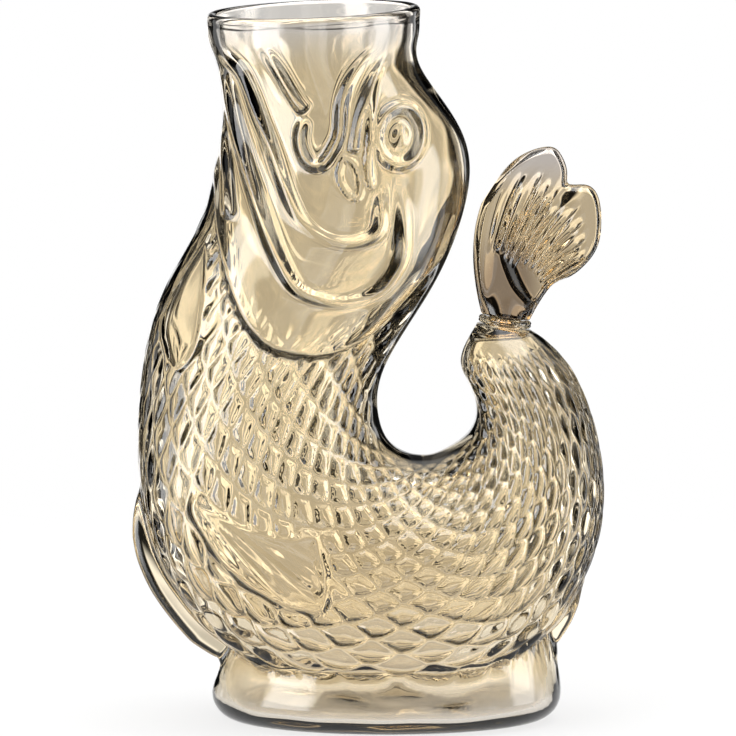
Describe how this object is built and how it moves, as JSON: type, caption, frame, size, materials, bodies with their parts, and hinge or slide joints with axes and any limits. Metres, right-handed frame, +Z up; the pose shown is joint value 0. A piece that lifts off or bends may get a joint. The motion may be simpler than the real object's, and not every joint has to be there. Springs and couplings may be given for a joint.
{
  "type": "water carafe",
  "caption": "Glass water carafe blown as a fish standing on an oval foot: open mouth for pouring, scaled body curled round a finger gap, solid tail fin fused on with a collar.",
  "frame": {"origin": "centre of the foot's underside, on the table", "axes": "+Z up towards the mouth, +X from the throat to the tail fin, +Y across the fish to its left side"},
  "size_m": [0.1661, 0.09, 0.2512],
  "materials": {
    "amber_glass": "clear smoky amber, fire polished",
    "collar_glass": "clear smoky amber, fire polished",
    "tail_glass": "clear smoky amber, fire polished"
  },
  "bodies": {
    "root": {"glass_body": "amber_glass", "tail_collar": "collar_glass", "tail_fin": "tail_glass"}
  },
  "joints": []
}
